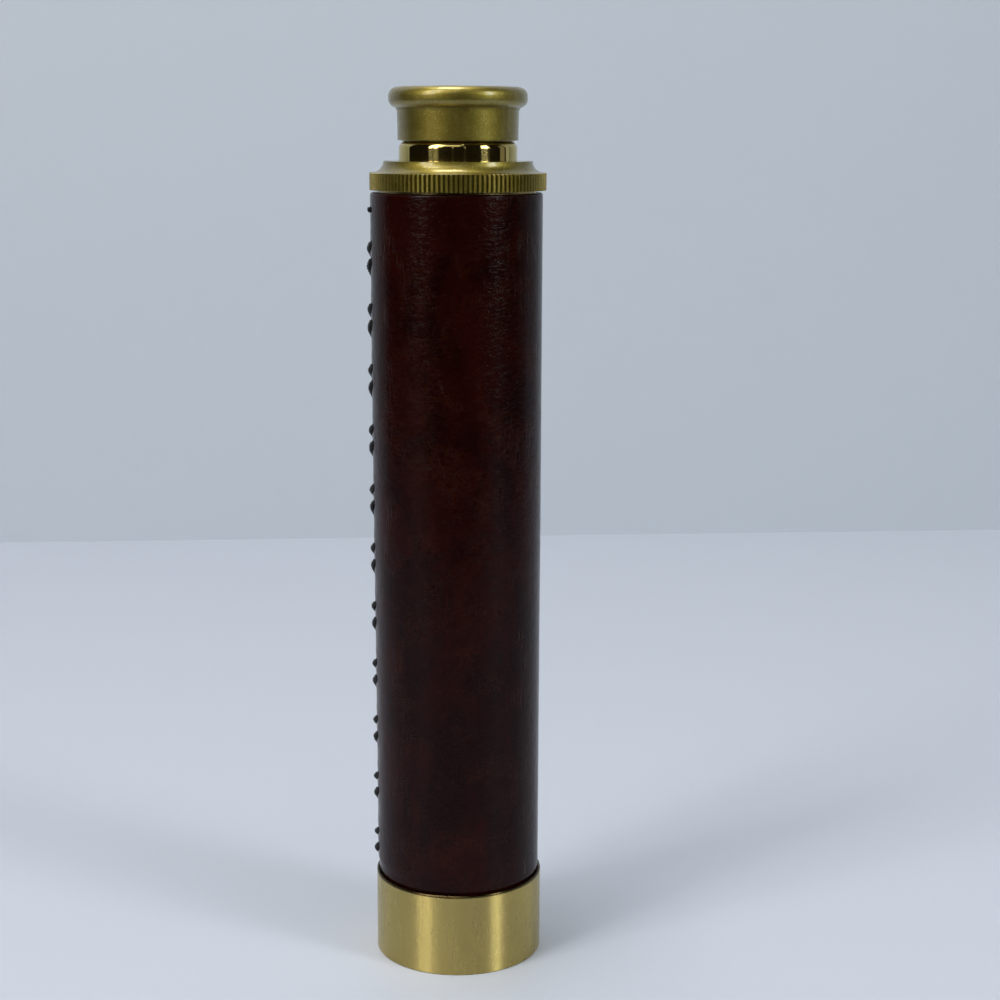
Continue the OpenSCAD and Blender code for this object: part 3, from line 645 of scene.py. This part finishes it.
# %% [markdown]
# ## Lenses
#
# The front of the telescope holds a crown and a flint lens, cemented together, and the eye
# looks through a third at the other end. The solids' faces are made of flat pieces, and glass
# shows every one of them, so the lenses that can be seen are spun again from true arcs.

# %% Lenses
def face_points(vertex_z, curve_r, edge_r, up, steps=20):
    """A lens face from the axis to its edge. It curves up towards the edge, or down."""
    made = []
    for k in range(steps + 1):
        r = edge_r * k / steps
        fall = curve_r - math.sqrt(curve_r * curve_r - r * r)
        made.append((r, vertex_z + fall * (1.0 if up else -1.0)))
    return made


def lens(name, low_face, high_face, body, replaced):
    """A lens between two faces. Its outline is open, because it starts and ends on the axis."""
    return turned(name, low_face + high_face[::-1], "lens_glass", body, replaced,
                  steps=128, closed=False)


OBJECTIVE_R = 12.57
CEMENTED_CURVE = 75.0
EYE_LENS_R = 7.38
lens("crown_lens", face_points(7.492, 95.0, OBJECTIVE_R, True),
     face_points(11.388, CEMENTED_CURVE, OBJECTIVE_R, False), "barrel",
     ["objective_crown_lens"])
lens("flint_lens", face_points(11.408, CEMENTED_CURVE, OBJECTIVE_R, False),
     face_points(12.831, 260.0, OBJECTIVE_R, False), "barrel", ["objective_flint_lens"])
lens("eye_lens_ground", face_points(152.45, 11.5, EYE_LENS_R, True),
     [(0.0, 156.63), (7.0, 156.63), (EYE_LENS_R, 156.61)], "second_draw", ["eye_lens"])

# %% [markdown]
# ## Leather sleeve
#
# The cover is one flat hide, wetted, pulled round the barrel and laced along a butt seam. Cloth
# simulation suits a hide that hangs or folds, but this one is stretched tight, so its shape is
# the barrel's and only the small things need work. The sleeve is an outline with many rows,
# spun from one edge of the seam round to the other, and the two cut edges are filled.
#
# Its points then move a little: the hide stands off the barrel towards the top, mostly on the
# seam's side, the cut edges roll under, and each stitch pulls a dimple round its holes. The
# seam's measures come first, because the dimples and the thread both follow them.

# %% Leather measures
LEATHER_R = 15.35
LEATHER_LOW = SKIRT_LOW + 0.02
LEATHER_HIGH = 145.0
LEATHER_BORE = BARREL_R + 0.02
SEAM_GAP = 0.25
THREAD_R = 0.43
HOLE_SIDE = 2.2
HOLE_ANGLE = HOLE_SIDE / LEATHER_R
STITCH_PAIRS = 11
PAIR_PITCH = 11.2
PAIR_ENDS = ((2.2, -0.7), (-0.85, -4.5))
FIRST_PAIR = LEATHER_HIGH - 11.25
stitches = []
for pair in range(STITCH_PAIRS):
    pair_z = FIRST_PAIR - pair * PAIR_PITCH
    stitches += [(pair_z + left, pair_z + right) for left, right in PAIR_ENDS]
KNOT_Z = stitches[0][0] + 6.0
holes = [(-HOLE_SIDE, KNOT_Z)]
for left, right in stitches:
    holes += [(-HOLE_SIDE, left), (HOLE_SIDE, right)]


def smooth_step(value, low, high):
    """Goes from 0 at low to 1 at high, easing in and out."""
    t = min(1.0, max(0.0, (value - low) / (high - low)))
    return t * t * (3.0 - 2.0 * t)


def fullness(angle, z):
    """How far the hide stands off the barrel: none in the bezel, most by the seam at the top."""
    near_seam = (0.5 + 0.5 * math.cos(angle)) ** 2
    loose = smooth_step(z, 25.0, 120.0) * (0.08 + 0.32 * near_seam)
    return loose + 0.20 * max(0.0, math.cos(angle)) * smooth_step(z, 17.0, 19.0)


def dimples(side, z):
    """How the leather's surface moves at a distance side from the seam, along the hide: the cut
    edge rolls under, a hole pulls a pit with a faint rim, and a stitch presses a groove."""
    change = -0.30 * math.exp(-((abs(side) - SEAM_GAP / 2) / 0.36) ** 2)
    for place, height in holes:
        away = math.hypot(side - place, z - height)
        if away < 5.0:
            change -= 0.24 * math.exp(-(away / 0.8) ** 2)
            change += 0.05 * math.exp(-((away - 1.9) / 0.8) ** 2)
    for left, right in stitches:
        if right - 2.0 < z < left + 2.0:
            along = Vector((2.0 * HOLE_SIDE, right - left))
            here = Vector((side + HOLE_SIDE, z - left))
            t = min(1.0, max(0.0, here.dot(along) / along.length_squared))
            change -= 0.12 * math.exp(-((here - along * t).length / 0.55) ** 2)
    return change


print("stitches:", len(stitches), "holes:", len(holes))

# %% Leather sleeve
ROWS = 300
EDGE_R = 0.45
gap_angle = SEAM_GAP / LEATHER_R
low_row = LEATHER_LOW + 0.1
high_row = LEATHER_HIGH - EDGE_R
rows = [(LEATHER_R, low_row + (high_row - low_row) * k / ROWS) for k in range(ROWS)]
sleeve_outline = (
    [(LEATHER_BORE, LEATHER_LOW), (LEATHER_R - 0.1, LEATHER_LOW)] + rows
    + arc(LEATHER_R - EDGE_R, high_row, EDGE_R, 0.0, 90.0, 6)
    + [(LEATHER_BORE, LEATHER_HIGH)]
)
bm = spun(sleeve_outline, 256, angle=2.0 * math.pi - gap_angle, start=math.pi + gap_angle / 2.0)
bmesh.ops.holes_fill(bm, edges=[edge for edge in bm.edges if edge.is_boundary], sides=0)
for vert in bm.verts:
    r = math.hypot(vert.co.x, vert.co.y) / MM
    if r < LEATHER_BORE + 0.3:
        continue
    z = vert.co.z / MM
    angle = math.atan2(vert.co.y, -vert.co.x)
    side = angle * LEATHER_R
    uneven = noise.noise(Vector((vert.co.x / MM * 0.09, vert.co.y / MM * 0.09, z * 0.05)))
    tuck = 0.25 * (1.0 - smooth_step(z, BEZEL_HIGH + 0.1, BEZEL_HIGH + 0.7))
    change = fullness(angle, z) + 0.020 * noise.noise(vert.co / MM * 0.5) - tuck
    change += 0.030 * (uneven if z > 17.5 else min(uneven, 0.0))
    if z > 17.0 and abs(side) < 8.0:
        change += dimples(side, z)
    vert.co.x *= (r + change) / r
    vert.co.y *= (r + change) / r
sleeve = finish("leather_wrap", bm, "leather", "barrel", ["leather_sleeve"], sharp=60.0)

# %% [markdown]
# ## Lacing
#
# One thread laces the seam: up through a left hole, over the seam, down through a right hole,
# and under the leather to the next left hole. Short separate stitches would look the same from
# outside, but a thread that dives into its holes and comes out again is what makes lacing look
# right from near by. So we lay down its corner points first, stitch by stitch.

# %% Lacing route
UNDER_R = BARREL_R + 0.03 + THREAD_R
OVER_R = LEATHER_R + 0.17
ARCH = (-0.05, 0.15, 0.12, -0.05, -0.22)
BEND_ANGLE = 0.45 / LEATHER_R
KNOT_TAIL = ((-0.8, 0.6), (0.2, 1.6), (0.75, 2.8), (0.1, 4.2), (-0.75, 5.5))


def seam_point(radius, angle, z):
    """A point on the seam's side. Above the leather it stands off as far as the hide does."""
    if radius > LEATHER_R - 0.4:
        radius += fullness(angle, z)
    return Vector((-radius * math.cos(angle), radius * math.sin(angle), z))


def stitch_route(left, right, following):
    """One stitch: up, across the seam in a low arch, down, and back under the leather to the
    next hole. Left, right and following are the holes' heights."""
    a = HOLE_ANGLE
    b = BEND_ANGLE
    reach = 2.0 * (a - b)
    up = [seam_point(UNDER_R + 0.20, -a, left), seam_point(OVER_R - 0.30, -a, left)]
    over = [seam_point(OVER_R + ARCH[k], b - a + reach * k / 4,
                       left + (right - left) * (0.10 + 0.78 * k / 4)) for k in range(5)]
    down = [seam_point(OVER_R - 0.45, a, right), seam_point(UNDER_R + 0.20, a, right)]
    if following is None:
        return up + over + down
    under = [seam_point(UNDER_R, a - b - reach * k / 4,
                        right + (following - right) * (0.12 + 0.76 * k / 4)) for k in range(5)]
    return up + over + down + under


route = [seam_point(LEATHER_R + 0.35, -HOLE_ANGLE, KNOT_Z),
         seam_point(UNDER_R + 0.4, -HOLE_ANGLE, KNOT_Z - 0.05)]
route += [seam_point(UNDER_R, HOLE_ANGLE * share, KNOT_Z - drop) for share, drop in KNOT_TAIL]
for i, (left, right) in enumerate(stitches):
    following = stitches[i + 1][0] if i + 1 < len(stitches) else None
    route += stitch_route(left, right, following)
print("route points:", len(route))

# %% [markdown]
# The thread itself has three plies. One round tube with a striped bump would do from a metre
# away, but at the edge of the picture its outline would stay smooth. So a smooth curve runs
# through the corner points, three strands are wound round it, and each is a curve with a round
# bevel, turned into a mesh at the end.


# %% Winding the thread
PLIES = 3
PLY_SHARE = 0.56
PLY_OFFSET = 0.46


def even_route(points, spacing):
    """Points at even steps along a smooth curve through the given points."""
    dense = []
    padded = [points[0]] + points + [points[-1]]
    for i in range(1, len(padded) - 2):
        p0, p1, p2, p3 = padded[i - 1:i + 3]
        for k in range(12):
            t = k / 12.0
            bend = 2 * p0 - 5 * p1 + 4 * p2 - p3
            twist = 3 * p1 - p0 - 3 * p2 + p3
            dense.append(0.5 * (2 * p1 + (p2 - p0) * t + bend * t * t + twist * t * t * t))
    dense.append(points[-1])
    even = [dense[0]]
    carried = 0.0
    for a, b in zip(dense, dense[1:]):
        length = (b - a).length
        while carried + length >= spacing:
            a = a.lerp(b, (spacing - carried) / length)
            length = (b - a).length
            carried = 0.0
            even.append(a)
        carried += length
    return even


def wound_thread(name, points, radius, lay, spacing, body, replaced=()):
    """A thread of round plies wound along a route. Lay is the length of one full turn."""
    data = bpy.data.curves.new(name, "CURVE")
    data.dimensions = "3D"
    data.bevel_depth = PLY_SHARE * radius * MM
    data.bevel_resolution = 2
    data.use_fill_caps = True
    data.resolution_u = 1
    middle = even_route(points, spacing)
    across = (middle[1] - middle[0]).orthogonal().normalized()
    frames = []
    for i, point in enumerate(middle):
        along = (middle[min(i + 1, len(middle) - 1)] - middle[max(i - 1, 0)]).normalized()
        across = (across - along * across.dot(along)).normalized()
        frames.append((point, across.copy(), along.cross(across)))
    for ply in range(PLIES):
        spline = data.splines.new("POLY")
        spline.points.add(len(middle) - 1)
        for i, (point, across, side) in enumerate(frames):
            a = 2.0 * math.pi * (ply / PLIES + i * spacing / lay)
            swell = 1.0 + 0.16 * noise.noise(point * 0.9 + Vector((7.0 * ply, 0.0, 0.0)))
            outward = across * math.cos(a) + side * math.sin(a)
            place = point + outward * (PLY_OFFSET * radius * swell)
            spline.points[i].co = (*(place * MM), 1.0)
            spline.points[i].radius = swell
    source = bpy.data.objects.new(name + "_curve", data)
    scene.collection.objects.link(source)
    mesh = bpy.data.meshes.new_from_object(source)
    bpy.data.objects.remove(source)
    mesh.name = name
    for polygon in mesh.polygons:
        polygon.use_smooth = True
    piece = bpy.data.objects.new(name, mesh)
    scene.collection.objects.link(piece)
    print(f"{name}: {(len(middle) - 1) * spacing:.0f} mm long, {len(mesh.polygons)} faces")
    return dressed(piece, "waxed_thread", body, replaced)


wound_thread("lacing_thread", route, THREAD_R, 2.6, 0.24, "barrel", ["seam_thread"])

# %% [markdown]
# The thread starts in an overhand knot, pulled tight into a small ball against the leather. A
# lump would do for its size, but the loops show. The formula of a trefoil gives an overhand
# knot in one line, and the same winding as before makes it thread.

# %% End knot
KNOT_SCALE = 0.098
KNOT_DEPTH = 0.15
KNOT_THREAD_R = 0.28
KNOT_STEPS = 72
knot_centre = seam_point(LEATHER_R + 0.20, -HOLE_ANGLE, KNOT_Z)
outward = Vector((-math.cos(HOLE_ANGLE), -math.sin(HOLE_ANGLE), 0.0))
upward = Vector((0, 0, 1))
aside = outward.cross(upward)
knot_route = []
for k in range(KNOT_STEPS + 1):
    t = 2.0 * math.pi * k / KNOT_STEPS
    x = math.sin(t) + 2.0 * math.sin(2.0 * t)
    y = math.cos(t) - 2.0 * math.cos(2.0 * t)
    knot_route.append(knot_centre + KNOT_SCALE * (aside * x + upward * y)
                      - outward * (KNOT_DEPTH * math.sin(3.0 * t)))
wound_thread("end_knot", knot_route, KNOT_THREAD_R, 1.0, 0.10, "barrel")

# %% [markdown]
# ## The rest of the frame
#
# The lens cells, rings, felts and stops hardly show, even when the draws are out. Building them
# again would change nothing that can be seen, so those solids keep their own shapes and only
# get the material of their slot.

# %% Materials for the remaining solids
made_here = {"barrel_tube", "objective_bezel", "knurled_collar", "first_draw_tube",
             "first_draw_collar", "second_draw_tube", "eyepiece_body", "objective_crown_lens",
             "objective_flint_lens", "eye_lens", "seam_thread", "leather_sleeve"}
kept = []
for part in frame["record"]["subparts"]:
    if part["node"] not in made_here:
        solid = frame["nodes"][part["node"]]
        solid.data.materials.clear()
        solid.data.materials.append(MATERIALS[part["material_slot"]])
        kept.append(part["node"])
print("kept as they are:", len(kept))

# %% [markdown]
# ## Stage and light
#
# The telescope stands on a pale table, before a pale wall that isn't quite square to the
# camera. Two planes do for that. A curved backdrop would hide the line where they meet, but the
# photograph shows that line. From behind, the wall is clear, so that the telescope can be
# looked at from there too. The paleness is in their colours and not in strong lamps, which
# would wash out the leather.


# %% Stage
def stage_plane(name, corners, mat):
    """A plane whose front faces the telescope."""
    bm = bmesh.new()
    bmesh.ops.contextual_create(bm, geom=[bm.verts.new(c) for c in corners])
    bm.faces.ensure_lookup_table()
    bm.normal_update()
    facing = (Vector((0.0, 0.0, 0.1)) - bm.faces[0].calc_center_median()).dot(bm.faces[0].normal)
    if facing < 0.0:
        bmesh.ops.reverse_faces(bm, faces=bm.faces)
    mesh = bpy.data.meshes.new(name)
    bm.to_mesh(mesh)
    bm.free()
    plane = bpy.data.objects.new(name, mesh)
    scene.collection.objects.link(plane)
    mesh.materials.append(mat)
    return plane


def wall_y(x):
    """How far back the wall stands. It comes nearer towards the left."""
    return 0.3785 + 0.0776 * x


def on_wall(x, z):
    return (x, wall_y(x), z)


TABLE_LEFT = -0.44
TABLE_RIGHT = 0.48
TABLE_FRONT = -0.30
WALL_HALF = 0.88
WALL_HIGH = 1.0


table_mat, tree, shader = material("table_white", (0.497, 0.530, 0.607), 0.0, 0.48,
                                   Specular_IOR_Level=0.36)
slanting = millimetres(tree, turn=(0.0, 0.0, math.radians(28.0)))
reeds = node(tree, "TexWave", {"Vector": slanting, "Scale": 0.04, "Distortion": 1.0,
                               "Detail": 1.0})
tree.links.new(bump_of(tree, reeds.outputs["Fac"], 0.02), shader.inputs["Normal"])
wall_mat, tree, shader = material("wall_pale", (0.492, 0.537, 0.603), 0.0, 0.8)
seen = node(tree, "MixShader", {
    0: node(tree, "NewGeometry").outputs["Backfacing"],
    1: shader.outputs["BSDF"],
    2: node(tree, "BsdfTransparent").outputs["BSDF"],
})
tree.links.new(seen.outputs["Shader"], tree.nodes["Material Output"].inputs["Surface"])
stage_plane("table", [(TABLE_LEFT, TABLE_FRONT, 0.0), (TABLE_RIGHT, TABLE_FRONT, 0.0),
                      on_wall(TABLE_RIGHT, 0.0), on_wall(TABLE_LEFT, 0.0)], table_mat)
wall = stage_plane("wall", [on_wall(-WALL_HALF, 0.0), on_wall(WALL_HALF, 0.0),
                            on_wall(WALL_HALF, WALL_HIGH), on_wall(-WALL_HALF, WALL_HIGH)],
                   wall_mat)
print("wall faces", [round(c, 2) for c in wall.data.polygons[0].normal])

# %% [markdown]
# ## Lights
#
# Polished metal shows what stands round it more than its own colour. One big soft lamp would
# light the leather well and leave the brass dull. So each window that the real brass mirrors
# is a tall light here, placed by its two edges to the left or right of the camera and by its
# lower and upper end, in degrees. Between the windows the room stays dark, and that gives the
# turned pieces their crisp streaks.
#
# Some lamps do one job only. One over the camera lights the tops of the mouldings, a glow there
# is seen by metal alone, and a wide soft one high above fills the table and the wall without
# being mirrored.


# %% Lights
WARM = (1.0, 0.98, 0.93)
COOL = (0.97, 1.0, 1.0)
GREENISH = (0.94, 1.0, 0.98)
DAYLIGHT = (0.97, 0.99, 1.0)
LIGHT_CENTRE = (0.0, 0.0, 0.12)
MOULDINGS = (0.0, 0.0, 0.15)


def area_light(name, place, target, size, power, colour):
    """A flat lamp that looks at a target. Size is its width and height in metres."""
    data = bpy.data.lights.new(name, "AREA")
    data.shape = "RECTANGLE"
    data.size, data.size_y = size
    data.energy = power
    data.color = colour
    lamp = bpy.data.objects.new(name, data)
    scene.collection.objects.link(lamp)
    lamp.location = place
    lamp.rotation_euler = (Vector(target) - Vector(place)).to_track_quat("-Z", "Y").to_euler()
    return lamp


def tall_light(name, first, last, low, high, radiance, colour):
    """A tall light 1 m away, between two azimuths off the camera's side and two elevations."""
    azimuth = math.radians((first + last) / 2.0)
    elevation = math.radians((low + high) / 2.0)
    width = math.radians(last - first) * math.cos(elevation)
    height = math.radians(high - low)
    place = (math.sin(azimuth) * math.cos(elevation), -math.cos(azimuth) * math.cos(elevation),
             LIGHT_CENTRE[2] + math.sin(elevation))
    power = radiance * math.pi * width * height
    return area_light(name, place, LIGHT_CENTRE, (width, height), power, colour)


# %% Lamps of the room
for measures in (
    ("left_pane", -57.5, -50.0, 10.0, 32.0, 9.5, WARM),
    ("left_window", -47.2, -39.0, 10.0, 32.0, 9.5, WARM),
    ("left_pane_top", -61.0, -53.0, 32.0, 58.0, 9.6, WARM),
    ("left_window_top", -50.0, -41.0, 32.0, 58.0, 9.6, WARM),
    ("left_frame", -37.4, -31.5, 16.0, 30.0, 1.0, WARM),
    ("left_top", -37.4, -31.5, 30.0, 58.0, 5.0, WARM),
    ("left_sill", -57.0, -36.0, -12.0, 9.5, 0.11, COOL),
    ("right_pane", 48.0, 50.8, 9.0, 27.0, 13.0, GREENISH),
    ("right_pane_top", 52.0, 55.5, 27.0, 42.0, 10.5, GREENISH),
    ("right_window", 53.0, 60.5, 9.0, 27.0, 15.0, GREENISH),
    ("right_window_top", 57.5, 65.5, 27.0, 42.0, 10.5, GREENISH),
    ("right_frame", 61.0, 66.0, 9.0, 42.0, 2.5, COOL),
    ("right_sill", 46.0, 60.0, -12.0, 8.5, 0.10, COOL),
    ("right_room", 90.0, 103.0, -8.0, 30.0, 0.25, WARM),
    ("left_line", -10.2, -7.4, 10.0, 30.0, 0.7, WARM),
    ("right_line", 13.6, 16.2, 10.0, 30.0, 0.7, WARM),
):
    tall_light(*measures)
ceiling = area_light("ceiling_lamp", (-0.15, 0.0, 1.35), MOULDINGS, (0.30, 0.30), 4.8, WARM)
ceiling.visible_glossy = False
glow = area_light("ceiling_glow", (-0.14, 0.05, 1.35), MOULDINGS, (0.50, 0.45), 10.6, WARM)
glow.visible_diffuse = False
glow = tall_light("front_glow", -32.0, 8.0, 40.0, 56.0, 1.6, WARM)
glow.visible_diffuse = False
area_light("small_lamp", (0.16, -0.55, 1.15), MOULDINGS, (0.05, 0.05), 0.15, WARM)
overhead = area_light("overhead", (0.0, -0.35, 1.5), (0.0, 0.25, 0.0), (1.6, 0.8), 8.5, DAYLIGHT)
overhead.visible_glossy = False
print("lamps:", len(bpy.data.lights))

# %% [markdown]
# ## World
#
# The world is what every ray meets that misses the stage. A pale one would light the telescope
# from all sides and grey the leather, so for light it is a dark room. The camera, looking past
# the table or through glass, sees a pale backdrop there instead, and so does a metal that
# mirrors what lies behind the telescope. Light Path tells the rays apart.

# %% World
DARK_ROOM = (0.012, 0.010, 0.008)
PALE_BACKDROP = (0.43, 0.47, 0.52)
world = bpy.data.worlds.new("room")
scene.world = world
world.use_nodes = True
tree = world.node_tree
rays = node(tree, "LightPath")
towards = node(tree, "SeparateXYZ", {0: node(tree, "TexCoord").outputs["Generated"]})
behind = math_of(tree, "GREATER_THAN", towards.outputs["Y"], 0.3)
mirrored = math_of(tree, "MULTIPLY", rays.outputs["Is Glossy Ray"], behind)
straight = math_of(tree, "MAXIMUM", rays.outputs["Is Camera Ray"],
                   rays.outputs["Is Transmission Ray"])
backdrop = blend_colours(tree, math_of(tree, "MAXIMUM", straight, mirrored),
                         DARK_ROOM, PALE_BACKDROP)
tree.links.new(backdrop, tree.nodes["Background"].inputs["Color"])
print("world:", world.name)
